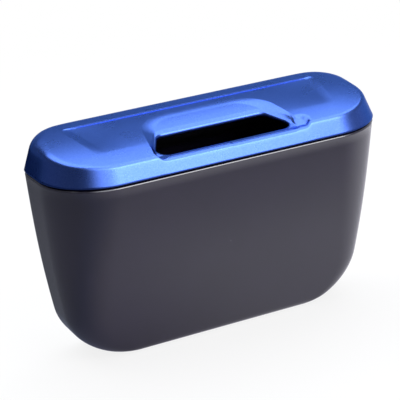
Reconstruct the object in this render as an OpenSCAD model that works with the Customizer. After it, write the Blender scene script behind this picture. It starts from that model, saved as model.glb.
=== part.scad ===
// Slim bin for a car door or seat back: an open tub with a flat back and a
// press-on lid. Millimetres, +Z up, front towards -Y, the flat back towards +Y.
// The origin lies on the floor, under the middle of the bin.

/* [Tub] */
// Width at the seam between tub and lid
body_w = 240; // [200:1:300]
// Depth at the seam, from the flat back to the front
body_d = 80; // [70:1:100]
// Height of the tub, from the floor to its rim
tub_h = 132; // [110:0.5:180]
// Wall of the tub
tub_wall = 2.2; // [1.6:0.1:3]
// How much narrower each end is at the floor than at the rim
end_taper = 17; // [8:0.5:24]
// How far the ends swell out half way down
end_bulge = 2.6; // [0:0.1:4]
// Depth at the floor
foot_d = 41; // [36:0.5:60]
// Radius of the large lower corners, seen from the front
corner_r = 33; // [20:1:45]
// Radius of the bottom edge along the front and back
bottom_r = 5; // [3:0.5:8]
// Plan radius of the front corners at the seam
front_r = 42; // [25:1:45]
// Plan radius of the back corners at the seam
back_r = 19; // [10:1:25]
// Plan radius of the front corners at the floor
foot_r = 16; // [10:1:18]
// How much narrower each end is at the front than at the back, at the seam
front_narrow = 2.4; // [0:0.2:6]
// Radius of the rim's outer edge
rim_r = 1.4; // [0.8:0.1:1.6]

/* [Lid] */
// Height of the lid's back edge above the seam
lid_back_h = 24.3; // [21:0.1:30]
// Height of the sharp front edge above the seam
lid_front_h = 12.4; // [11.5:0.1:16]
// Thickness of the lid's walls
lid_wall = 2; // [1.6:0.1:2.4]
// How far the front edge stands back from the seam
front_lean = 5; // [3:0.2:7]
// How far the end edges stand in from the seam
end_lean = 5.9; // [3:0.1:8]
// Radius of the rounded edge along the back
back_edge_r = 8; // [5:0.5:10]
// Radius of the crisp edge along the front
front_edge_r = 1.4; // [0.8:0.1:3]
// How much the lid stands out over the tub all round
overhang = 0.4; // [0:0.1:0.8]
// Dark gap between the lid's skirt and the tub
shadow_gap = 1; // [0.6:0.1:1.6]
// Height of the collar that plugs into the tub
plug_h = 8; // [6:0.5:12]
// Lead-in bevel round the collar's lower end
plug_lead = 0.8; // [0.4:0.1:1.2]
// Clearance between the collar and the tub's inside
plug_clear = 0.45; // [0.3:0.05:0.7]
// Clearance between the lid and the top of the rim
seat_clear = 0.2; // [0.1:0.05:0.4]

/* [Recess and slot] */
// Depth of the shallow recess at its back wall
dish_depth = 1.4; // [0.8:0.1:2]
// Distance from the flat back to the recess's back wall
dish_back = 16; // [14:0.5:18]
// Distance from the flat back to where the recess runs out at the front
dish_front = 58; // [54:0.5:62]
// Half width of the recess's floor at its back
dish_w = 86.5; // [78:0.5:90]
// Width of the sloping end walls of the recess
dish_end = 8.5; // [5:0.5:10]
// Distance from the flat back to where the hood starts to fall
hood_back = 20.5; // [19:0.5:24]
// Height of the slot's back lip above the seam
lip_h = 16.4; // [15.6:0.1:17.5]
// Radius of the slot's upper edge
lip_r = 1.8; // [1:0.1:2]
// Height of the lip, from the hood's top to its lower edge
lip_drop = 3.4; // [3:0.1:4]
// Half width of the slot at its back
slot_back_w = 38; // [32:0.5:40]
// Half width of the slot at its front
slot_front_w = 51; // [44:0.5:52]
// Distance from the flat back to the slot's back lip
slot_back = 44.5; // [40:0.5:48]
// Distance from the flat back to the slot's front edge
slot_front = 69.5; // [66:0.5:70]
// Height of the slot's front edge above the seam
slot_front_h = 10.2; // [9.6:0.1:10.8]
// Height of the sunken ledge in front of the slot
ledge_h = 9.9; // [9.2:0.1:10.4]
// Half width that the finger notch at the slot's right end reaches
notch_w = 59.6; // [56:0.2:62]
// Distance from the flat back to the notch's back edge
notch_back = 62.8; // [60:0.2:66]

/* [Hidden] */

// Points along one half of a rounded outline
n_back = 8;
n_back_arc = 6;
n_side = 10;
n_front_arc = 13;
n_front = 22;
// From here inwards the outer outlines share their points along the front
front_share = 53;

half_w = body_w / 2;
crease_y = body_d - front_lean;
crease_half = half_w - end_lean;
lid_droop = 0.04;
lid_bow = (lid_back_h - lid_front_h - lid_droop * crease_y) / (crease_y * crease_y);

function mix(a, b, t) = a + (b - a) * t;
function limit(t) = max(0, min(1, t));
function ease(t) = let (u = limit(t)) u * u * (3 - 2 * u);
// A straight climb from 0 to 1 with small rounded ends
climb_soft = 0.14;
function climb(t) = let (u = limit(t), k = 1 / (1 - climb_soft))
    u < climb_soft ? u * u * k / (2 * climb_soft)
    : u > 1 - climb_soft ? 1 - (1 - u) * (1 - u) * k / (2 * climb_soft)
    : (u - climb_soft / 2) * k;

// An outline is [half width at back, half width at front, y of back, y of front, back radius,
// front radius], with y counted from the flat back and negative towards the front.
function inset(o, d) = let (
    slope = (o[0] - o[1]) / (o[2] - o[3]),
    side = d * sqrt(1 + slope * slope)
) [o[0] - side - slope * d, o[1] - side + slope * d, o[2] - d, o[3] + d,
   max(0.5, o[4] - d), max(0.5, o[5] - d)];
function blend_outline(a, b, t) = [for (i = [0:5]) mix(a[i], b[i], t)];

// Right half of an outline, from the middle of the back round to the middle of the front. The
// front corner's points run on along the front as far as front_share.
function half_outline(o) = let (
    ux = o[1] - o[0],
    uy = o[3] - o[2],
    len = sqrt(ux * ux + uy * uy),
    turn_b = acos(-ux / len),
    cut_b = o[4] / tan(turn_b / 2),
    cut_f = o[5] / tan((180 - turn_b) / 2),
    lean = atan2(ux, -uy),
    cb = [o[0] - cut_b, o[2] - o[4]],
    cf = [o[1] - cut_f, o[3] + o[5]],
    sb = cb + o[4] * [cos(lean), sin(lean)],
    sf = cf + o[5] * [cos(lean), sin(lean)],
    reach = min(cf[0], front_share),
    arc = o[5] * (90 + lean) * PI / 180
) concat(
    [for (i = [0:n_back - 1]) [cb[0] * i / n_back, o[2]]],
    [for (i = [0:n_back_arc - 1]) let (a = mix(90, lean, i / n_back_arc)) cb + o[4] * [cos(a), sin(a)]],
    [for (i = [0:n_side - 1]) sb + (sf - sb) * i / n_side],
    [for (i = [0:n_front_arc - 1]) let (s = mix(0, arc + cf[0] - reach, i / n_front_arc))
        s > arc ? [cf[0] - (s - arc), o[3]]
        : cf + o[5] * [cos(lean - s / arc * (90 + lean)), sin(lean - s / arc * (90 + lean))]],
    [for (i = [0:n_front]) [reach * (1 - i / n_front), o[3]]]
);
// The whole outline, clockwise seen from above, mirrored about the middle
function outline(o) = let (h = half_outline(o), n = len(h) - 1) concat(
    h,
    [for (i = [1:n - 1]) [-h[n - i][0], h[n - i][1]]]
);
function at_height(o, z) = [for (p = outline(o)) [p[0], p[1], z]];

// Closed skin over a stack of rings. Either the last ring joins the first one again, or a flat
// disc closes each end, as a fan round a point of its own.
function skin_faces(rings, n, discs) = concat(
    [for (r = [0:rings - (discs ? 2 : 1)]) for (i = [0:n - 1])
        let (a = r * n, b = ((r + 1) % rings) * n, j = (i + 1) % n)
        each [[a + i, b + j, a + j], [a + i, b + i, b + j]]],
    discs ? [for (i = [0:n - 1]) let (j = (i + 1) % n, last = (rings - 1) * n)
        each [[i, j, rings * n], [last + j, last + i, rings * n + 1]]] : []
);
function disc_centre(ring) = let (n = len(ring)) [0, (ring[0][1] + ring[n / 2][1]) / 2, ring[0][2]];
module skin(rings, discs) {
    n = len(rings[0]);
    centres = discs ? [disc_centre(rings[0]), disc_centre(rings[len(rings) - 1])] : [];
    points = concat([for (r = rings) each r], centres);
    translate([0, body_d / 2, tub_h])
        polyhedron(points = points, faces = skin_faces(len(rings), n, discs), convexity = 6);
}

// Outline of the lid's lower edge, and of the tub at the rim and at the floor. The backs of all
// three lie in one upright plane.
seam_line = [half_w, half_w - front_narrow, 0, -body_d, back_r, front_r];
rim_inset = inset(seam_line, overhang);
rim_line = [rim_inset[0], rim_inset[1], 0, rim_inset[3], rim_inset[4], rim_inset[5]];
foot_line = [half_w - end_taper, half_w - end_taper, 0, -foot_d, back_r / 2, foot_r];

// Tub outline at a depth below the rim. The ends round off over corner_r above the floor, and
// the front and back edges over bottom_r.
function corner_cut(d, r) = let (k = limit((d - (tub_h - r)) / r)) r * (1 - sqrt(1 - k * k));
function tub_line(d) = let (
    o = blend_outline(rim_line, foot_line, d / tub_h),
    e = corner_cut(d, corner_r),
    c = corner_cut(d, bottom_r),
    b = end_bulge * sin(180 * d / tub_h)
) [o[0] - e + b, o[1] - e + b, o[2] - c, o[3] + c, o[4], o[5]];
wall_steps = 5;
corner_steps = 7;
edge_steps = 5;
edge_share = 0.35;
wall_depths = [for (i = [0:wall_steps]) mix(rim_r, tub_h - corner_r, i / wall_steps)];
corner_depths = [for (i = [1:corner_steps]) tub_h - corner_r * (1 - sin(i * 90 / (corner_steps + 2)))];
edge_depths = [for (i = [1:edge_steps]) tub_h - edge_share * bottom_r * (1 - sin(i * 90 / edge_steps))];
outer_depths = concat(wall_depths, corner_depths, edge_depths);
// Inside of the tub: the same rounding lifted off the floor and moved in by the wall
function inner_line(d) = inset(tub_line(d * tub_h / (tub_h - tub_wall)), tub_wall);
function inner_depth(d) = d * (tub_h - tub_wall) / tub_h;

// From the floor inside up to the rim, over it and down the outside
module tub() color([0.2, 0.19, 0.23]) skin(concat(
    [for (i = [len(outer_depths) - 1:-1:1]) let (d = inner_depth(outer_depths[i])) at_height(inner_line(d), -d)],
    [at_height(inset(rim_line, tub_wall), 0)],
    [for (a = [90, 60, 30]) at_height(inset(rim_line, rim_r * (1 - cos(a))), -rim_r * (1 - sin(a)))],
    [for (d = outer_depths) at_height(tub_line(d), -d)]
), true);

// Height of the lid's plain top above the seam, y counted from the flat back. It falls towards
// the front, and a little towards both ends.
crown_from = body_w / 3;
crown = 0.0013;
function plain_top(x, y) = lid_back_h + lid_droop * y - lid_bow * y * y - crown * pow(max(abs(x) - crown_from, 0), 2);

// Floor of the recess. It is nearly level, so it runs out into the falling top at the front, and
// it sinks a little more towards its ends.
end_sink = 0.9;
sink_from = 55;
sink_run = 22;
sink_back_run = 12;
sink_front = 46;
function dish(x, y) = plain_top(x, y)
    - dish_depth * limit((dish_front + y) / (dish_front - dish_back))
    - end_sink * ease((abs(x) - sink_from) / sink_run) * ease((-dish_back - y) / sink_back_run)
        * (1 - ease((-sink_front - y) / (dish_front - sink_front)));

// The hood falls from the recess's back to the slot's lip, and on along the slot to the ledge
hood_curve = 1.25;
hood_back_h = dish(0, -hood_back);
function hood(y) = y > -slot_back
    ? mix(hood_back_h, lip_h, pow(limit((-hood_back - y) / (slot_back - hood_back)), hood_curve))
    : y > -slot_front ? mix(lip_h, slot_front_h, (-slot_back - y) / (slot_front - slot_back))
    : mix(slot_front_h, ledge_h, limit((-slot_front - y) / (crease_y - slot_front)));

// Distance of a point inside a rounded outline, negative outside it
function corner_depth(side, along, r) = let (a = side - r, b = along - r)
    r + (a < 0 && b < 0 ? -norm([a, b]) : min(a, b));
function inside(o, x, y) = let (
    slope = (o[0] - o[1]) / (o[2] - o[3]),
    side = (o[0] + slope * (y - o[2]) - abs(x)) / sqrt(1 + slope * slope)
) min(corner_depth(side, o[2] - y, o[4]), corner_depth(side, y - o[3], o[5]));

// Outer edges of the hood and of the notch. Both are open to the front, where the ledge cuts
// through the lid's front edge. Inside them facets fall to the slot.
ledge_open = crease_y + 0.3;
hood_rim = [slot_back_w + 5.8, slot_front_w + 2, -hood_back, -crease_y - 2.5, 24, 8];
notch_rim = [notch_w, notch_w - 2, -notch_back, -body_d, 3.5, 9];
facet_back = 9;
facet_front = 2.6;
facet_from = slot_front - 1.5;
facet_run = 22;
notch_wall = 3.4;
notch_run = 8.5;
ridge_soft = 1.2;
function hood_cut(x, y, outer) = let (
    facet = mix(facet_front, facet_back, ease((y + facet_from) / facet_run))
) mix(outer, hood(y), climb(inside(hood_rim, x, max(y, -ledge_open)) / facet));
function notch_cut(x, y, outer) = let (
    fall = mix(outer, ledge_h + 0.3, climb((-notch_back - 0.4 - y) / notch_run)),
    wall = x > 0 ? climb(inside(notch_rim, x, max(y, -ledge_open)) / notch_wall) : 0
) mix(outer, fall, wall);
// Height of the painted top, where outer is the surface that the hood and the notch are cut into
function lid_top(x, y, outer) = let (
    a = hood_cut(x, y, outer),
    b = notch_cut(x, y, outer),
    meet = a < outer && b < outer ? max(ridge_soft - abs(a - b), 0) : 0
) min(outer, min(a, b) - meet * meet / (4 * ridge_soft));

// Outlines of the lid, from the slot out to the seam
slot_line = [slot_back_w, slot_front_w, -slot_back, -slot_front, 6.5, 7];
slot_rim = inset(slot_line, -lip_r);
hood_line = [hood_rim[0], hood_rim[1] - 0.8, -hood_back, -crease_y + 2.4, 24, 1.2];
floor_line = [dish_w, dish_w - 11.5, -dish_back - 0.3, -crease_y + 2, 10, 20];
shoulder_line = [dish_w + dish_end, dish_w + dish_end - 11, -dish_back, -crease_y + 1.8, 12, 26];
crease_line = [crease_half, crease_half - front_narrow, -0.5, -crease_y, back_r + 4, front_r - front_lean];
// The collar follows the tub's taper, d below the rim
function plug_line(d) = inset(tub_line(d), tub_wall + plug_clear);

function edge_r(y) = mix(front_edge_r, back_edge_r, ease((y + crease_y - 5) / (crease_y - 13)));
// A ring on the top, with t as the share of the recess's wall that it has climbed
function outer_top(x, y, t) = mix(dish(x, y), plain_top(x, y), climb(t));
function top_at(x, y, t) = lid_top(x, y, outer_top(x, y, t));
function under_at(x, y, t) = min(
    top_at(x, y, t), top_at(x + lid_wall, y, t), top_at(x - lid_wall, y, t),
    top_at(x, y + lid_wall, t), top_at(x, y - lid_wall, t)) - lid_wall;
function on_top(o, t) = [for (p = outline(o)) [p[0], p[1], top_at(p[0], p[1], t)]];
function under_top(o, t) = [for (p = outline(o)) [p[0], p[1], under_at(p[0], p[1], t)]];
// Rings from one outline to the next, closer together near the first where grow is above 1
function span(a, b, n, grow) = [for (i = [0:n - 1]) on_top(blend_outline(a, b, pow(i / n, grow)), 0)];
function at_slot(o, drop) = let (q = outline(slot_line), p = outline(o))
    [for (i = [0:len(p) - 1]) [p[i][0], p[i][1], hood(q[i][1]) - drop]];

// Rounded edge between the top and the skirt, as a curve through each point of the crease
crease = outline(crease_line);
seam = outline(seam_line);
function top_tangent(i) = let (
    c = crease[i],
    toward = inset(crease_line, edge_r(c[1])),
    p = outline(toward)[i]
) [p[0], p[1], top_at(p[0], p[1], 1)];
tangents = [for (i = [0:len(crease) - 1]) top_tangent(i)];
// Where the ledge cuts the edge down, the edge slides out along the skirt
function corner_point(i) = let (
    full = plain_top(crease[i][0], crease[i][1]),
    h = top_at(crease[i][0], crease[i][1], 1),
    p = mix(crease[i], seam[i], (full - h) / (full - shadow_gap))
) [p[0], p[1], h];
function skirt_tangent(i) = let (c = corner_point(i)) mix(c, [seam[i][0], seam[i][1], shadow_gap],
    min(0.6, edge_r(c[1]) / (c[2] - shadow_gap)));
outer_shoulder = outline(shoulder_line);
function shoulder_ring(t) = [for (i = [0:len(crease) - 1])
    let (p = mix(outer_shoulder[i], [tangents[i][0], tangents[i][1]], t)) [p[0], p[1], top_at(p[0], p[1], 1)]];
function bend(a, b, c, t) = mix(mix(a, b, t), mix(b, c, t), t);
function edge_ring(t) = [for (i = [0:len(crease) - 1]) bend(tangents[i], corner_point(i), skirt_tangent(i), t)];
function skirt_ring(t) = [for (i = [0:len(crease) - 1])
    mix(skirt_tangent(i), [seam[i][0], seam[i][1], shadow_gap + 0.5], t)];

function inner_skirt(t) = let (
    low = outline(inset(plug_line(0), lid_wall)),
    high = outline(inset(crease_line, lid_wall * 1.3))
) [for (i = [0:len(low) - 1]) let (
    p = mix(low[i], high[i], t),
    roof = under_at(p[0], p[1], 1) - edge_r(crease[i][1]) * 0.5
) [p[0], p[1], mix(0, roof, t)]];

module lid() color([0.25, 0.36, 0.75]) skin(concat(
    [at_slot(slot_line, lip_drop)],
    [for (a = [0, 45]) at_slot(inset(slot_line, -lip_r * (1 - cos(a))), lip_r * (1 - sin(a)))],
    span(slot_rim, hood_line, 8, 1),
    span(hood_line, floor_line, 10, 1.5),
    [for (t = [0, 0.5, 1]) on_top(blend_outline(floor_line, shoulder_line, t), t)],
    [shoulder_ring(0.5)],
    [for (t = [0, 0.25, 0.5, 0.75, 1]) edge_ring(t)],
    [skirt_ring(0.5), skirt_ring(1)],
    [at_height(inset(seam_line, 0.5), shadow_gap),
     at_height(inset(rim_line, rim_r), shadow_gap),
     at_height(inset(rim_line, rim_r), seat_clear),
     at_height(plug_line(0), seat_clear),
     at_height(plug_line(plug_h - plug_lead), plug_lead - plug_h),
     at_height(inset(plug_line(plug_h), plug_lead), -plug_h),
     at_height(inset(plug_line(plug_h), lid_wall), -plug_h)],
    [inner_skirt(0), inner_skirt(0.6), inner_skirt(1)],
    [under_top(shoulder_line, 1), under_top(floor_line, 0), under_top(blend_outline(floor_line, hood_line, 0.6), 0),
     under_top(hood_line, 0), under_top(blend_outline(hood_line, slot_rim, 0.5), 0)]
), false);

tub();
lid();
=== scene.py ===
import math
from collections import namedtuple

import bpy
import numpy as np
from mathutils import Matrix, Vector


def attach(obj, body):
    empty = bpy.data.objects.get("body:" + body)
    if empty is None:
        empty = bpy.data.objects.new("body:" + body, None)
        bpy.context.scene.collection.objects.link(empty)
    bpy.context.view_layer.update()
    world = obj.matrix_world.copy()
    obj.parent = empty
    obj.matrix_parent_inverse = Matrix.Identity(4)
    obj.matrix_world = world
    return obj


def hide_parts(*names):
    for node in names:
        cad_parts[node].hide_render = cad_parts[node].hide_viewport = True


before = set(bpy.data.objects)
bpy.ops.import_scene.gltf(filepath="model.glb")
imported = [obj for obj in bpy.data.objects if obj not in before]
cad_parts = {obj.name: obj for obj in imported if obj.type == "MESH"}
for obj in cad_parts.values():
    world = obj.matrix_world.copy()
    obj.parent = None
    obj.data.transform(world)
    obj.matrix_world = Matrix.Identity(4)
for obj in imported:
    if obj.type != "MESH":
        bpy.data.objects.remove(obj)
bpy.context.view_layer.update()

# The tub. One charcoal moulding with a fine satin grain, open at the top, with large rounded
# lower corners, a narrow floor and a flat, upright back. Lengths are millimetres: y counts
# from the flat back (0) towards the front (-80), z from the seam under the lid.
BODY_W, BODY_D, TUB_H, TUB_WALL = 240.0, 80.0, 132.0, 2.2
END_TAPER, END_BULGE, FOOT_D = 17.0, 2.6, 41.0
CORNER_R, BOTTOM_R, RIM_R, INNER_RIM = 33.0, 5.0, 1.7, 0.4
FRONT_R, BACK_R, FOOT_R, FOOT_BACK_R = 42.0, 19.0, 16.0, 9.5
FRONT_NARROW, OVERHANG = 2.4, 0.4
# The last of the bottom edge's rounding, which is drawn with rings of its own
LAST_EDGE = 0.25
# Points on a ring's right half: back straight, back corner, front corner, front straight
RING_POINTS = (40, 64, 64, 84)
# Points that the two corners are worked out from
BACK_ARC, FRONT_ARC = 60, 90
# Shares of the way from a floor's edge to its middle
FLOOR_LOOPS = (0.25, 0.5, 0.75, 0.95)

Outline = namedtuple("Outline", "back_half front_half back front back_r front_r")


def mix(a, b, t):
    return a + (b - a) * t


def limit(t):
    return np.clip(t, 0.0, 1.0)


def ease(t):
    u = limit(t)
    return u * u * (3 - 2 * u)


def inset(o, d):
    """The outline drawn in by d all round, or out where d is below zero."""
    slant = (o.back_half - o.front_half) / (o.back - o.front)
    side = d * math.sqrt(1 + slant * slant)
    return Outline(o.back_half - side - slant * d, o.front_half - side + slant * d,
                   o.back - d, o.front + d, max(0.5, o.back_r - d), max(0.5, o.front_r - d))


def blend(a, b, t):
    """The outline at the share t of the way from a to b."""
    return Outline(*(mix(p, q, t) for p, q in zip(a, b)))


def outline(o, back_x=None, front_x=None):
    """Points all round, clockwise from above. The straights are counted out to back_x and front_x."""
    run_x, run_y = o.front_half - o.back_half, o.front - o.back
    turn = math.acos(-run_x / math.hypot(run_x, run_y))
    back_cut, front_cut = o.back_r / math.tan(turn / 2), o.front_r / math.tan((math.pi - turn) / 2)
    back_centre = np.array([o.back_half - back_cut, o.back - o.back_r])
    front_centre = np.array([o.front_half - front_cut, o.front + o.front_r])
    side_angle = math.atan2(run_x, -run_y)
    back_arc = np.linspace(math.pi / 2, side_angle, BACK_ARC)
    front_arc = np.linspace(side_angle, -math.pi / 2, FRONT_ARC)
    path = np.vstack([[[0, o.back]],
                      back_centre + o.back_r * np.c_[np.cos(back_arc), np.sin(back_arc)],
                      front_centre + o.front_r * np.c_[np.cos(front_arc), np.sin(front_arc)],
                      [[0, o.front]]])
    run = np.r_[0, np.cumsum(np.hypot(*np.diff(path, axis=0).T))]
    stops = [0, run[1] if back_x is None else min(run[1], back_x),
             (run[BACK_ARC] + run[BACK_ARC + 1]) / 2,
             run[-2] if front_x is None else max(run[-2], run[-1] - front_x), run[-1]]
    steps = [np.linspace(a, b, n + 1)[:-1] for a, b, n in zip(stops, stops[1:], RING_POINTS)]
    at = np.concatenate(steps + [[run[-1]]])
    right_half = np.c_[np.interp(at, run, path[:, 0]), np.interp(at, run, path[:, 1])]
    return np.vstack([right_half, right_half[-2:0:-1] * [-1, 1]])


def ring_at(o, z, **stations):
    """A level ring at the height z."""
    p = outline(o, **stations)
    return np.c_[p, np.full(len(p), z)]


def ring_mesh(name, rings, materials, ring_materials, floors):
    """One closed skin over a stack of rings, with floors at both ends or joined into a loop."""
    n, count = len(rings[0]), len(rings)
    points = np.vstack(rings)
    here = np.arange(n)
    after = (here + 1) % n
    faces, face_materials = [], []
    for r in range(count - 1 if floors else count):
        low, high = r * n, ((r + 1) % count) * n
        faces += np.c_[low + here, high + here, high + after, low + after].tolist()
        face_materials += [ring_materials[r]] * n
    for r, flip in ((0, 1), (count - 1, -1)) if floors else ():
        ring = rings[r]
        centre_y = (ring[:, 1].max() + ring[:, 1].min()) / 2
        last = r * n
        floor_faces = []
        for t in FLOOR_LOOPS:
            start = len(points)
            points = np.vstack([points, ring * [1 - t, 1 - t, 1] + np.array([0, centre_y, 0]) * t])
            floor_faces += np.c_[last + here, last + after, start + after, start + here][:, ::flip].tolist()
            last = start
        hub = np.full(n, len(points))
        points = np.vstack([points, [0, centre_y, ring[0, 2]]])
        floor_faces += np.c_[last + here, last + after, hub][:, ::flip].tolist()
        faces += floor_faces
        face_materials += [0] * len(floor_faces)
    mesh = bpy.data.meshes.new(name)
    mesh.from_pydata(((points + [0, BODY_D / 2, TUB_H]) / 1000).tolist(), [], faces)
    for m in materials:
        mesh.materials.append(m)
    mesh.polygons.foreach_set("material_index", face_materials)
    mesh.polygons.foreach_set("use_smooth", [True] * len(faces))
    mesh.update()
    obj = bpy.data.objects.new(name, mesh)
    bpy.context.scene.collection.objects.link(obj)
    return obj


seam_line = Outline(BODY_W / 2, BODY_W / 2 - FRONT_NARROW, 0, -BODY_D, BACK_R, FRONT_R)
rim_line = inset(seam_line, OVERHANG)._replace(back=0)
foot_line = Outline(BODY_W / 2 - END_TAPER, BODY_W / 2 - END_TAPER, 0, -FOOT_D, FOOT_BACK_R, FOOT_R)


def round_in(depth, r):
    """How far a bottom edge of radius r has drawn in at a depth below the rim."""
    k = float(limit((depth - (TUB_H - r)) / r))
    return r * (1 - math.sqrt(1 - k * k))


def tub_line(depth):
    """The tub's outline at a depth below the rim."""
    o = blend(rim_line, foot_line, depth / TUB_H)
    end, face = round_in(depth, CORNER_R), round_in(depth, BOTTOM_R)
    bulge = END_BULGE * math.sin(math.pi * min(1, depth / TUB_H))
    return o._replace(back_half=o.back_half - end + bulge, front_half=o.front_half - end + bulge,
                      back=o.back - face, front=o.front + face)


def inner_line(depth):
    """The tub's inside at a depth below the rim."""
    return inset(tub_line(depth * TUB_H / (TUB_H - TUB_WALL)), TUB_WALL)


wall_depths = np.linspace(RIM_R, TUB_H - CORNER_R, 16)
corner_depths = TUB_H - CORNER_R * (1 - np.sin(np.radians(np.arange(1, 22) * 4)))
edge_depths = TUB_H - LAST_EDGE * (1 - np.sin(np.radians(np.arange(1, 7) * 15)))
depths = np.r_[wall_depths, corner_depths, edge_depths]
inner_depths = depths * (TUB_H - TUB_WALL) / TUB_H
tub_rings = [ring_at(inner_line(d), -d) for d in inner_depths[:0:-1]]
tub_rings += [ring_at(inset(rim_line, TUB_WALL), -INNER_RIM),
              ring_at(inset(rim_line, TUB_WALL - INNER_RIM), 0)]
tub_rings += [ring_at(inset(rim_line, RIM_R * (1 - math.cos(a))), -RIM_R * (1 - math.sin(a)))
              for a in np.radians(np.arange(90, 0, -10))]
tub_rings += [ring_at(tub_line(d), -d) for d in depths]


def new_material(name):
    m = bpy.data.materials.new(name)
    m.use_nodes = True
    nodes = m.node_tree.nodes
    return m, nodes, m.node_tree.links, nodes["Principled BSDF"]


def ramp(nodes, links, value, stops, mode="EASE"):
    """A colour that changes with a value, through stops of a place and a colour."""
    r = nodes.new("ShaderNodeValToRGB")
    r.color_ramp.interpolation = mode
    while len(r.color_ramp.elements) < len(stops):
        r.color_ramp.elements.new(0.5)
    for e, (at, colour) in zip(r.color_ramp.elements, stops):
        e.position, e.color = at, (*colour, 1)
    links.new(value, r.inputs["Fac"])
    return r.outputs["Color"]


def grey(value):
    return (value, value, value)


def noise(nodes, links, place, scale, detail):
    """Soft clouds, the finer the larger the scale."""
    n = nodes.new("ShaderNodeTexNoise")
    n.inputs["Scale"].default_value = scale
    n.inputs["Detail"].default_value = detail
    links.new(place, n.inputs["Vector"])
    return n.outputs["Fac"]


def cells(nodes, links, place, scale):
    """Small cells, each with a colour of its own, and that colour's channels."""
    n = nodes.new("ShaderNodeTexVoronoi")
    n.inputs["Scale"].default_value = scale
    links.new(place, n.inputs["Vector"])
    split = nodes.new("ShaderNodeSeparateColor")
    links.new(n.outputs["Color"], split.inputs["Color"])
    return n, split


def work_out(nodes, links, operation, a, b):
    """Two values put together. b may be a plain number."""
    n = nodes.new("ShaderNodeMath")
    n.operation = operation
    links.new(a, n.inputs[0])
    if isinstance(b, float):
        n.inputs[1].default_value = b
    else:
        links.new(b, n.inputs[1])
    return n.outputs[0]


def grain_bump(nodes, links, height, strength, bsdf):
    """A fine surface relief, 0.2 mm at its full strength."""
    bump = nodes.new("ShaderNodeBump")
    bump.inputs["Strength"].default_value = strength
    bump.inputs["Distance"].default_value = 0.0002
    links.new(height, bump.inputs["Height"])
    links.new(bump.outputs["Normal"], bsdf.inputs["Normal"])


def charcoal_plastic(name):
    """A dark body with faint clouds and a few pale dust specks, under a glossy skin."""
    m, nodes, links, bsdf = new_material(name)
    place = nodes.new("ShaderNodeTexCoord").outputs["Object"]
    cloud = noise(nodes, links, place, 30, 4)
    body = ramp(nodes, links, cloud, [(0.3, (0.011, 0.009, 0.024)), (0.7, (0.014, 0.011, 0.029))])
    specks, channels = cells(nodes, links, place, 95)
    centres = ramp(nodes, links, specks.outputs["Distance"], [(0.0, grey(1)), (0.05, grey(0))])
    few = ramp(nodes, links, channels.outputs["Red"], [(0.90, grey(0)), (0.92, grey(1))])
    dust = work_out(nodes, links, "MULTIPLY", work_out(nodes, links, "MULTIPLY", centres, few), 0.35)
    colour = nodes.new("ShaderNodeMix")
    colour.data_type = "RGBA"
    links.new(dust, colour.inputs["Factor"])
    links.new(body, colour.inputs["A"])
    colour.inputs["B"].default_value = (0.5, 0.48, 0.52, 1)
    links.new(colour.outputs["Result"], bsdf.inputs["Base Color"])
    rough = ramp(nodes, links, cloud, [(0.3, grey(0.40)), (0.7, grey(0.48))])
    links.new(rough, bsdf.inputs["Roughness"])
    bsdf.inputs["Specular IOR Level"].default_value = 0.1
    bsdf.inputs["Coat Weight"].default_value = 1.0
    bsdf.inputs["Coat Roughness"].default_value = 0.12
    bsdf.inputs["Coat IOR"].default_value = 1.8
    grain_bump(nodes, links, noise(nodes, links, place, 1500, 3), 0.12, bsdf)
    return m


tub = ring_mesh("tub_shell", tub_rings, [charcoal_plastic("charcoal_plastic")], [0] * len(tub_rings), True)
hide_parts("tub")
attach(tub, "tub")

# The lid. One black moulding sprayed metallic blue on the outside, with a collar inside the tub.
# Out of a shallow recess in its top the hood falls to the slot's back lip. A ledge in front of
# the slot cuts the front edge, and a finger notch widens it at the slot's right end.
LID_BACK_H, LID_FRONT_H, LID_WALL = 24.3, 12.4, 2.0
FRONT_LEAN, END_LEAN, BACK_EDGE_R, FRONT_EDGE_R = 5.0, 5.9, 8.0, 1.9
SHADOW_GAP, PLUG_H, PLUG_CLEAR, PLUG_LEAD, SEAT_CLEAR = 1.0, 8.0, 0.45, 0.8, 0.2
# The top's slope at the back, and how it drops beyond CROWN_X towards the ends
DROOP, CROWN_X, CROWN = 0.04, 80.0, 0.0013
# The recess's back wall, its place, and how softly it runs out at the front
DISH_DEPTH, DISH_BACK, DISH_FRONT, DISH_FADE = 0.6, 16.0, 58.0, 1.35
# How far the recess's floor sags, and how much more from SAG_X outwards
SAG, END_SAG, SAG_X, SAG_RUN = 1.6, 2.4, 50.0, 32.0
SLOT_BACK, SLOT_FRONT, HOOD_BACK, HOOD_CURVE = 44.5, 69.5, 20.5, 1.25
LIP_H, SLOT_FRONT_H, LEDGE_H = 16.4, 10.2, 9.9
# The slot's wall is thicker and rounder at the back lip than at the front
LIP_THICK, SLOT_FRONT_THICK, LIP_R, SLOT_FRONT_R, SLOT_EDGE = 3.4, 2.2, 2.2, 1.2, 0.5
# Width of the hood's sloping wall at the front and from FACET_Y backwards
FACET_FRONT, FACET_BACK, FACET_Y, FACET_RUN = 2.6, 9.0, 46.0, 22.0
NOTCH_WALL, NOTCH_LIFT, NOTCH_FALL_Y, NOTCH_FALL = 3.4, 0.3, 63.2, 8.5
# In front of this line the hood and the notch are open
OPEN_Y = 75.3
# Where the hood's wall and the notch's wall meet, over a soft ridge
RIDGE = 1.2
# Where the edge's radius starts and stops growing, and the most of the skirt that it takes
EDGE_FROM_FRONT, EDGE_FROM_BACK, EDGE_SHARE = 5.0, 8.0, 0.6
RADIUS_MATCH = 0.006
CREASE_BACK, CREASE_BACK_R, SKIRT_EDGE = 0.5, 23.0, 0.45
# The paint stops a little way round the skirt's and the slot's lower edges
PAINT_IN, PAINT_UP, SLOT_BLACK = 0.13, 0.14, (1.6, 0.7)
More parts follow.
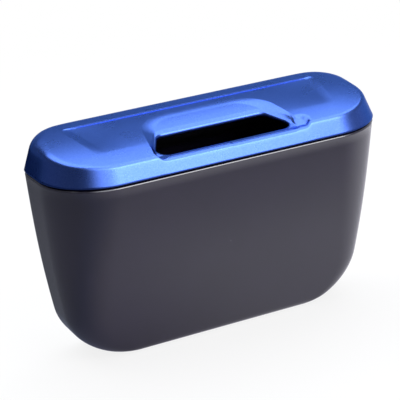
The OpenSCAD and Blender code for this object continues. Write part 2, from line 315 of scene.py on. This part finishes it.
# How far the underside's outer ring is in from the crease, in walls, and down, in edge radii
ROOF_IN, ROOF_DOWN = 1.3, 0.5
# The back straight is counted out to 40 on the narrowest top ring and to 70 on the widest, and the
# front straight to 62 wherever a ring is wider than that
BACK_NARROW, BACK_WIDE, NARROW_HALF, WIDER_BY, FRONT_STATION = 40, 70, 36, 80, 62.0
crease_y = BODY_D - FRONT_LEAN
crease_half = BODY_W / 2 - END_LEAN
bow = (LID_BACK_H - LID_FRONT_H - DROOP * crease_y) / crease_y ** 2

slot_line = Outline(38.0, 51.0, -SLOT_BACK, -SLOT_FRONT, 6.5, 7.0)
# The hood's outer edge. The surface inside it falls to the slot, and its front is open
hood_rim = Outline(43.8, 53.0, -HOOD_BACK, -77.5, 24.0, 8.0)
hood_line = Outline(43.8, 52.2, -HOOD_BACK, -72.6, 24.0, 7.0)
notch_rim = Outline(59.6, 57.6, -62.8, -80.0, 6.5, 9.0)
floor_line = Outline(86.5, 75.0, -16.1, -73.0, 2.5, 20.0)
shoulder_line = Outline(93.6, 82.6, -DISH_BACK, -73.2, 3.0, 26.0)
crease_line = Outline(crease_half, crease_half - FRONT_NARROW, -CREASE_BACK, -crease_y,
                      CREASE_BACK_R, FRONT_R - FRONT_LEAN)


def plug_line(depth):
    """The collar's outside, a clearance in from the tub's wall."""
    return inset(tub_line(depth), TUB_WALL + PLUG_CLEAR)


def inside(o, x, y):
    """How far a point is inside an outline, negative outside it."""
    slant = (o.back_half - o.front_half) / (o.back - o.front)
    side = (o.back_half + slant * (y - o.back) - np.abs(x)) / math.sqrt(1 + slant * slant)

    def from_corner(along, r):
        a, b = side - r, along - r
        return r + np.where((a < 0) & (b < 0), -np.hypot(a, b), np.minimum(a, b))
    return np.minimum(from_corner(o.back - y, o.back_r), from_corner(y - o.front, o.front_r))


def plain_top(x, y):
    """The plain top: it falls towards the front and a little towards both ends."""
    return LID_BACK_H + DROOP * y - bow * y * y - CROWN * np.maximum(np.abs(x) - CROWN_X, 0) ** 2


def climb(t, soft=0.14):
    """A straight climb from 0 to 1 with small rounded ends."""
    t = limit(t)
    k = 1 / (1 - soft)
    start, end = t * t / (2 * soft) * k, 1 - (1 - t) ** 2 / (2 * soft) * k
    return np.where(t < soft, start, np.where(t > 1 - soft, end, (t - soft / 2) * k))


def dish(x, y):
    """The recess's floor: nearly level, so it runs out into the falling top at the front."""
    t = limit((-DISH_BACK - y) / (DISH_FRONT - DISH_BACK))
    sag = SAG + END_SAG * ease((np.abs(x) - SAG_X) / SAG_RUN)
    return plain_top(x, y) - (DISH_DEPTH + sag * t) * (1 - t) ** DISH_FADE


hood_back_h = dish(0.0, -HOOD_BACK)


def along_slot(y):
    """0 at the slot's back lip, 1 at its front."""
    return limit((-SLOT_BACK - y) / (SLOT_FRONT - SLOT_BACK))


def hood(y):
    """The hood falls from the recess's back to the slot's lip, and on along the slot to the ledge."""
    to_lip = limit((-HOOD_BACK - y) / (SLOT_BACK - HOOD_BACK)) ** HOOD_CURVE
    to_edge = limit((-SLOT_FRONT - y) / (crease_y - SLOT_FRONT))
    fall = mix(hood_back_h, LIP_H, to_lip)
    fall = np.where(y < -SLOT_BACK, mix(LIP_H, SLOT_FRONT_H, along_slot(y)), fall)
    return np.where(y < -SLOT_FRONT, mix(SLOT_FRONT_H, LEDGE_H, to_edge), fall)


def lid_top(x, y, outer):
    """Height of the painted top. outer is the surface that the hood and the ledge are set into."""
    open_y = np.maximum(y, -OPEN_Y)
    facet = mix(FACET_FRONT, FACET_BACK, ease((y + FACET_Y + FACET_RUN) / FACET_RUN))
    low = mix(outer, hood(y), climb(inside(hood_rim, x, open_y) / facet, 0.07))
    notch_floor = mix(outer, LEDGE_H + NOTCH_LIFT, climb((-NOTCH_FALL_Y - y) / NOTCH_FALL))
    in_notch = np.where(x > 0, inside(notch_rim, x, open_y), -NOTCH_WALL)
    notch = mix(outer, notch_floor, climb(in_notch / NOTCH_WALL))
    ridge = np.maximum(RIDGE - np.abs(low - notch), 0) ** 2 / (4 * RIDGE)
    low = np.minimum(low, notch) - np.where((low < outer) & (notch < outer), ridge, 0)
    return np.minimum(low, outer)


def top_stations(o):
    """Where a top ring's straights are counted out to, so that its points line up with the next."""
    wider = limit((o.back_half - NARROW_HALF) / WIDER_BY)
    return dict(back_x=min(o.back_half - o.back_r, mix(BACK_NARROW, BACK_WIDE, wider)),
                front_x=FRONT_STATION if o.front_half > FRONT_STATION else None)


def on_top(o, t=None, drop=0.0):
    """A ring on the top. t is how far the ring has climbed the recess's wall."""
    p = outline(o, **top_stations(o))
    x, y = p.T
    outer = dish(x, y) if t is None else mix(dish(x, y), plain_top(x, y), climb(t))
    return np.c_[p, lid_top(x, y, outer) - drop]


# The edge where the top turns down into the skirt: tight in front, wide at the back
crease = outline(crease_line, **top_stations(crease_line))
crease_x, crease_back = crease.T
edge_run = crease_y - EDGE_FROM_FRONT - EDGE_FROM_BACK
radius = mix(FRONT_EDGE_R, BACK_EDGE_R, ease((crease_back + crease_y - EDGE_FROM_FRONT) / edge_run))
seam_stations = top_stations(seam_line)
seam = outline(seam_line, **seam_stations)
full_h = plain_top(crease_x, crease_back)
crease_h = lid_top(crease_x, crease_back, full_h)
corner = np.c_[mix(crease, seam, ((full_h - crease_h) / (full_h - SHADOW_GAP))[:, None]), crease_h]
# The top meets the edge at a distance of the edge's own radius
edge_start = np.zeros_like(crease)
for value in np.unique(np.round(radius, 2)):
    p = outline(inset(crease_line, float(value)), **top_stations(crease_line))
    pick = np.abs(radius - value) < RADIUS_MATCH
    edge_start[pick] = p[pick]


def plain_ring(p):
    """Points raised to the top outside the recess."""
    x, y = p.T
    return np.c_[p, lid_top(x, y, plain_top(x, y))]


tangent = plain_ring(edge_start)
low_seam = np.c_[seam, np.full(len(seam), SHADOW_GAP)]
skirt_low = low_seam + [0, 0, SKIRT_EDGE]
skirt_top = mix(corner, low_seam, np.minimum(EDGE_SHARE, radius / (corner[:, 2] - SHADOW_GAP))[:, None])
shoulder = outline(shoulder_line, **top_stations(shoulder_line))

# The slot's wall: the painted edge turns down over a small radius, then black inside
hood_start = inset(slot_line, -LIP_R)
slot_points, wide_slot = outline(slot_line), outline(hood_start)
slot_share = along_slot(slot_points[:, 1])
slot_top = hood(slot_points[:, 1])
slot_low = slot_top - mix(LIP_THICK, SLOT_FRONT_THICK, slot_share)
lip_r = mix(LIP_R, SLOT_FRONT_R, slot_share)


def lip_ring(angle):
    """A ring on the slot's rounded upper edge."""
    out = lip_r * (1 - math.cos(angle)) / LIP_R
    return np.c_[mix(slot_points, wide_slot, out[:, None]), slot_top - lip_r * (1 - math.sin(angle))]


def slot_low_ring(out, up):
    """A ring at the slot's lower edge."""
    return np.c_[outline(inset(slot_line, -out)), slot_low + up]


def slot_edge_ring(angle):
    """A ring on the slot's rounded lower edge."""
    return slot_low_ring(SLOT_EDGE * (1 - math.sin(angle)), SLOT_EDGE * (1 - math.cos(angle)))


PAINT, BLACK = 0, 1
rings, kinds = [], []


def add(kind, *more):
    """The next rings of the lid's skin, painted or bare."""
    rings.extend(more)
    kinds.extend([kind] * len(more))


# Up the slot's wall, over the hood and the recess, and down the skirt
slot_wall = (slot_low_ring(0, SLOT_EDGE), np.c_[slot_points, slot_top - lip_r])
add(BLACK, *[slot_low_ring(out, 0.0) for out in SLOT_BLACK])
add(PAINT, *[slot_edge_ring(a) for a in np.radians([20, 45, 70, 90])])
add(PAINT, *[mix(*slot_wall, t) for t in (0.33, 0.66)])
add(PAINT, *[lip_ring(a) for a in np.radians(np.arange(0, 78, 9))])
add(PAINT, *[on_top(blend(hood_start, hood_line, t)) for t in np.linspace(0.02, 0.86, 20)])
add(PAINT, *[on_top(blend(hood_start, hood_line, t)) for t in (0.90, 0.93, 0.96, 0.985, 1.0)])
add(PAINT, *[on_top(blend(hood_line, floor_line, t)) for t in np.linspace(0, 1, 26)[1:-1] ** 1.5])
add(PAINT, *[on_top(blend(floor_line, shoulder_line, t), t) for t in np.linspace(0, 1, 13)])
add(PAINT, *[plain_ring(mix(shoulder, edge_start, t)) for t in (0.015, 0.2, 0.4, 0.6, 0.8, 0.92)])
add(PAINT, *[mix(mix(tangent, corner, t), mix(corner, skirt_top, t), t) for t in np.linspace(0, 1, 11)])
add(PAINT, *[mix(skirt_top, skirt_low, t) for t in (0.2, 0.4, 0.6, 0.8, 0.9, 1.0)])
add(PAINT, ring_at(inset(seam_line, PAINT_IN), SHADOW_GAP + PAINT_UP, **seam_stations))

# In under the skirt to the tub's rim, and down and up the collar
black_rings = [(inset(seam_line, SKIRT_EDGE), SHADOW_GAP), (inset(rim_line, RIM_R), SHADOW_GAP),
               (inset(rim_line, RIM_R), SEAT_CLEAR), (plug_line(0), SEAT_CLEAR)]
black_rings += [(plug_line(d), -d) for d in (0.5, 3, 6, PLUG_H - PLUG_LEAD)]
black_rings += [(inset(plug_line(PLUG_H), PLUG_LEAD), -PLUG_H), (inset(plug_line(PLUG_H), LID_WALL), -PLUG_H),
                (inset(plug_line(0), LID_WALL), 0)]
add(BLACK, *[ring_at(o, z, **seam_stations) for o, z in black_rings])


def under(o, t=None):
    """A ring of the underside: the lowest painted point within a wall's width, less the wall."""
    heights = [on_top(inset(o, side), t, LID_WALL)[:, 2] for side in (-LID_WALL, 0, LID_WALL)]
    return np.c_[outline(o, **top_stations(o)), np.min(heights, axis=0)]


# Across the underside and back to the slot
roof = under(inset(crease_line, LID_WALL * ROOF_IN), 1.0)
roof[:, 2] -= radius * ROOF_DOWN
add(BLACK, mix(rings[-1], roof, 0.5), roof)
add(BLACK, *[under(blend(shoulder_line, floor_line, t), 1 - t) for t in (0, 0.5, 1)])
add(BLACK, *[under(blend(floor_line, hood_line, t)) for t in (0.25, 0.5, 0.75, 1)])
add(BLACK, *[under(blend(hood_line, hood_start, t)) for t in (0.1, 0.2, 0.4, 0.6, 0.8)])


def blue_paint(name):
    """Fine metal flakes, each a slightly different blue, under a thin clear coat."""
    m, nodes, links, bsdf = new_material(name)
    place = nodes.new("ShaderNodeTexCoord").outputs["Object"]
    flakes = cells(nodes, links, place, 3600)[1]
    blues = [(0.0, (0.046, 0.102, 0.42)), (0.6, (0.053, 0.116, 0.45)), (1.0, (0.078, 0.150, 0.52))]
    links.new(ramp(nodes, links, flakes.outputs["Red"], blues, "LINEAR"), bsdf.inputs["Base Color"])
    bsdf.inputs["Metallic"].default_value = 1.0
    bsdf.inputs["Specular Tint"].default_value = (0.42, 0.6, 1.0, 1)
    haze = noise(nodes, links, place, 60, 3)
    rough = ramp(nodes, links, haze, [(0.3, grey(0.27)), (0.7, grey(0.29))])
    links.new(rough, bsdf.inputs["Roughness"])
    bsdf.inputs["Coat Weight"].default_value = 0.12
    bsdf.inputs["Coat Roughness"].default_value = 0.22
    grain_bump(nodes, links, flakes.outputs["Green"], 0.02, bsdf)
    return m


def black_plastic(name):
    """The bare moulding, dull and nearly black."""
    m, nodes, links, bsdf = new_material(name)
    cloud = noise(nodes, links, nodes.new("ShaderNodeTexCoord").outputs["Object"], 200, 3)
    body = ramp(nodes, links, cloud, [(0.3, (0.006, 0.006, 0.008)), (0.7, (0.010, 0.009, 0.012))])
    links.new(body, bsdf.inputs["Base Color"])
    bsdf.inputs["Roughness"].default_value = 0.6
    bsdf.inputs["Specular IOR Level"].default_value = 0.3
    return m


lid_finish = [blue_paint("blue_metallic_paint"), black_plastic("bare_black_plastic")]
lid = ring_mesh("lid_shell", rings, lid_finish, kinds, False)
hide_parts("lid")
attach(lid, "lid")

# The studio. A pale floor that fades into a white background and keeps the soft shadow. One soft
# box hangs overhead and a small one stands in front. What gloss mirrors is set apart: a pale
# screen in front and a grey room, brighter at the right and the back than at the left.
scene = bpy.context.scene
scene.view_settings.view_transform = "Standard"


def toward(nodes, links, place, direction):
    """How far a place lies in a direction."""
    n = nodes.new("ShaderNodeVectorMath")
    n.operation = "DOT_PRODUCT"
    n.inputs[1].default_value = direction
    links.new(place, n.inputs[0])
    return n.outputs["Value"]


def smooth_range(nodes, links, value, span, result):
    """A value that goes smoothly from one result to the other over a span."""
    n = nodes.new("ShaderNodeMapRange")
    n.interpolation_type = "SMOOTHSTEP"
    n.inputs["From Min"].default_value, n.inputs["From Max"].default_value = span
    n.inputs["To Min"].default_value, n.inputs["To Max"].default_value = result
    links.new(value, n.inputs["Value"])
    return n.outputs[0]


def one_axis(nodes, links, place, axis):
    n = nodes.new("ShaderNodeSeparateXYZ")
    links.new(place, n.inputs[0])
    return n.outputs[axis]


def choose(nodes, links, share, first, second):
    """The first shader, or the second by a share."""
    n = nodes.new("ShaderNodeMixShader")
    for source, socket in zip((share, first, second), n.inputs):
        links.new(source, socket)
    return n.outputs[0]


def studio_background(name):
    """Dim for plain light, the mirrored room for gloss, and white to the camera."""
    world = bpy.data.worlds.new(name)
    world.use_nodes = True
    nodes, links = world.node_tree.nodes, world.node_tree.links
    nodes.clear()
    dim, white, mirrored = (nodes.new("ShaderNodeBackground") for _ in range(3))
    dim.inputs["Color"].default_value = (0.55, 0.58, 0.66, 1)
    dim.inputs["Strength"].default_value = 0.35
    white.inputs["Color"].default_value = (1, 1, 1, 1)
    sky = nodes.new("ShaderNodeTexCoord").outputs["Generated"]
    room = smooth_range(nodes, links, toward(nodes, links, sky, (0.9, 0.43, 0)), (0.05, 0.95), (0.24, 0.70))
    in_front = toward(nodes, links, sky, (0.159, -0.750, 0.642))
    screen = smooth_range(nodes, links, in_front, (0.72, 0.95), (0.0, 4.6))
    links.new(work_out(nodes, links, "ADD", room, screen), mirrored.inputs["Strength"])
    tones = [(0.0, (0.75, 0.85, 1.0)), (0.22, (0.85, 0.87, 1.0)), (0.36, (0.60, 0.61, 0.64)),
             (0.55, (0.55, 0.55, 0.56)), (0.70, (0.7, 0.72, 0.75))]
    links.new(ramp(nodes, links, one_axis(nodes, links, sky, "Z"), tones), mirrored.inputs["Color"])
    ray = nodes.new("ShaderNodeLightPath").outputs
    lit = choose(nodes, links, ray["Is Glossy Ray"], dim.outputs[0], mirrored.outputs[0])
    clear = work_out(nodes, links, "MAXIMUM", ray["Is Camera Ray"], ray["Is Transmission Ray"])
    seen = choose(nodes, links, clear, lit, white.outputs[0])
    links.new(seen, nodes.new("ShaderNodeOutputWorld").inputs["Surface"])
    return world


def pale_floor(name):
    """Takes the shadow, glows white to the camera, and in gloss is dark at the left and in front."""
    m, nodes, links, bsdf = new_material(name)
    bsdf.inputs["Base Color"].default_value = (0.80, 0.80, 0.81, 1)
    bsdf.inputs["Roughness"].default_value = 0.9
    place = nodes.new("ShaderNodeTexCoord").outputs["Object"]
    to_right = toward(nodes, links, place, (1.0, -0.6, 0.0))
    from_left = smooth_range(nodes, links, to_right, (-0.20, 0.08), (0.05, 0.72))
    close_by = smooth_range(nodes, links, one_axis(nodes, links, place, "Y"), (-0.15, -0.04), (0.45, 1.0))
    mirrored = work_out(nodes, links, "MULTIPLY", from_left, close_by)
    ray = nodes.new("ShaderNodeLightPath").outputs
    clear = work_out(nodes, links, "MAXIMUM", ray["Is Camera Ray"], ray["Is Transmission Ray"])
    strength = work_out(nodes, links, "MAXIMUM", mirrored, clear)
    glow = nodes.new("ShaderNodeEmission")
    links.new(strength, glow.inputs["Strength"])
    # Painted reflection: in gloss the floor glows deep blue where it is dimmest, at the left, which puts a
    # navy strip on the tub's left edge
    tones = [(0.05, (0.12, 0.26, 0.75)), (0.4, (0.84, 0.80, 1.0)), (0.7, (0.90, 0.88, 1.0)), (1.0, (1, 1, 1))]
    links.new(ramp(nodes, links, strength, tones), glow.inputs["Color"])
    # Far out the glow takes over entirely, so that no horizon shows
    distance = nodes.new("ShaderNodeVectorMath")
    distance.operation = "LENGTH"
    links.new(place, distance.inputs[0])
    whiter = smooth_range(nodes, links, distance.outputs["Value"], (0.25, 0.9), (0.85, 1.0))
    glowing = work_out(nodes, links, "MAXIMUM", clear, ray["Is Glossy Ray"])
    share = work_out(nodes, links, "MULTIPLY", glowing, whiter)
    surface = choose(nodes, links, share, bsdf.outputs[0], glow.outputs[0])
    links.new(surface, nodes["Material Output"].inputs["Surface"])
    return m


scene.world = studio_background("studio")
FLOOR_HALF, FLOOR_DROP = 4, 0.0002
floor_mesh = bpy.data.meshes.new("floor")
floor_corners = [(x * FLOOR_HALF, y * FLOOR_HALF, 0) for x, y in ((-1, -1), (1, -1), (1, 1), (-1, 1))]
floor_mesh.from_pydata(floor_corners, [], [(0, 1, 2, 3)])
floor_mesh.materials.append(pale_floor("pale_floor"))
floor = bpy.data.objects.new("floor", floor_mesh)
floor.location.z = -FLOOR_DROP
scene.collection.objects.link(floor)

MIDDLE_H, LIGHT_DISTANCE = 0.12, 1.5


def soft_box(name, azimuth, height, size, power, colour):
    """A lamp aimed at the middle of the bin, its azimuth counted from the front towards the right."""
    light = bpy.data.lights.new(name, "AREA")
    light.shape = "RECTANGLE"
    light.size, light.size_y = size
    light.energy, light.color = power, colour
    obj = bpy.data.objects.new(name, light)
    a, e = math.radians(azimuth), math.radians(height)
    out = Vector((math.sin(a) * math.cos(e), -math.cos(a) * math.cos(e), math.sin(e)))
    obj.location = out * LIGHT_DISTANCE + Vector((0, 0, MIDDLE_H))
    obj.rotation_euler = (-out).to_track_quat("-Z", "Y").to_euler()
    scene.collection.objects.link(obj)


soft_box("overhead", 170, 74, (2.6, 1.7), 45, (0.96, 0.98, 1.0))
soft_box("front", 25, 40, (0.9, 0.7), 9, (1.0, 0.98, 1.0))

# The camera stands where the photograph's did, a little to the left of the front and above. Its
# place, tilt and focal length come from the tub's outline and the seam in the picture.
AZIMUTH, HEIGHT, ROLL = map(math.radians, (-24.27, 21.28, -4.77))
DISTANCE, SENSOR_MM = 1.04423, 36
FOCAL_PX, CENTRE_X_PX, CENTRE_Y_PX, FRAME_PX = 1554.64, 209.52, 225.48, 400
target = Vector((0, 0.010, 0.072))
back = Vector((math.sin(AZIMUTH) * math.cos(HEIGHT), -math.cos(AZIMUTH) * math.cos(HEIGHT),
               math.sin(HEIGHT)))
level_right = (-back).cross(Vector((0, 0, 1))).normalized()
level_up = level_right.cross(-back)
right = level_right * math.cos(ROLL) + level_up * math.sin(ROLL)
up = -level_right * math.sin(ROLL) + level_up * math.cos(ROLL)
lens = bpy.data.cameras.new("camera")
lens.sensor_width = SENSOR_MM
lens.lens = FOCAL_PX / FRAME_PX * SENSOR_MM
lens.shift_x = (FRAME_PX / 2 - CENTRE_X_PX) / FRAME_PX
lens.shift_y = (CENTRE_Y_PX - FRAME_PX / 2) / FRAME_PX
camera = bpy.data.objects.new("camera", lens)
turn = Matrix((right, up, back)).transposed().to_4x4()
camera.matrix_world = Matrix.Translation(target + back * DISTANCE) @ turn
scene.collection.objects.link(camera)
scene.camera = camera

bpy.context.view_layer.update()
